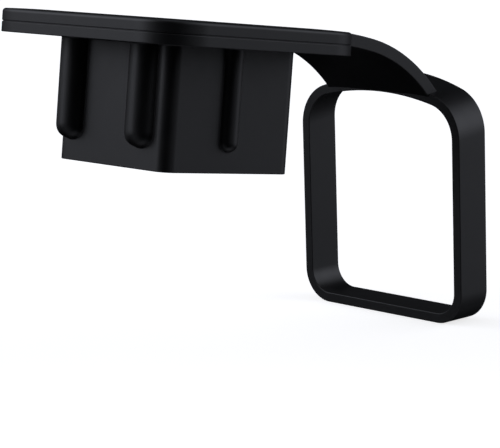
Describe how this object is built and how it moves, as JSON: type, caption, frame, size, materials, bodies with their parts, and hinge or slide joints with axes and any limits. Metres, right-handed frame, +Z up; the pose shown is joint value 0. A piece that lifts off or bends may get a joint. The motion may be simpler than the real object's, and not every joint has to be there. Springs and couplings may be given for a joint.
{
  "type": "hitch receiver cover",
  "caption": "Rubber cover for a square hitch receiver: rounded lid with a hollow ribbed plug, an arched strap and a square band that goes over the receiver tube.",
  "frame": {"origin": "centre of the band's opening, halfway along the band", "axes": "+X across the receiver, +Y along the receiver towards the vehicle, +Z up"},
  "size_m": [0.08, 0.1294, 0.1034],
  "materials": {
    "rubber": "matte black moulded rubber"
  },
  "bodies": {
    "root": {"hitch_cover": "rubber"}
  },
  "joints": []
}
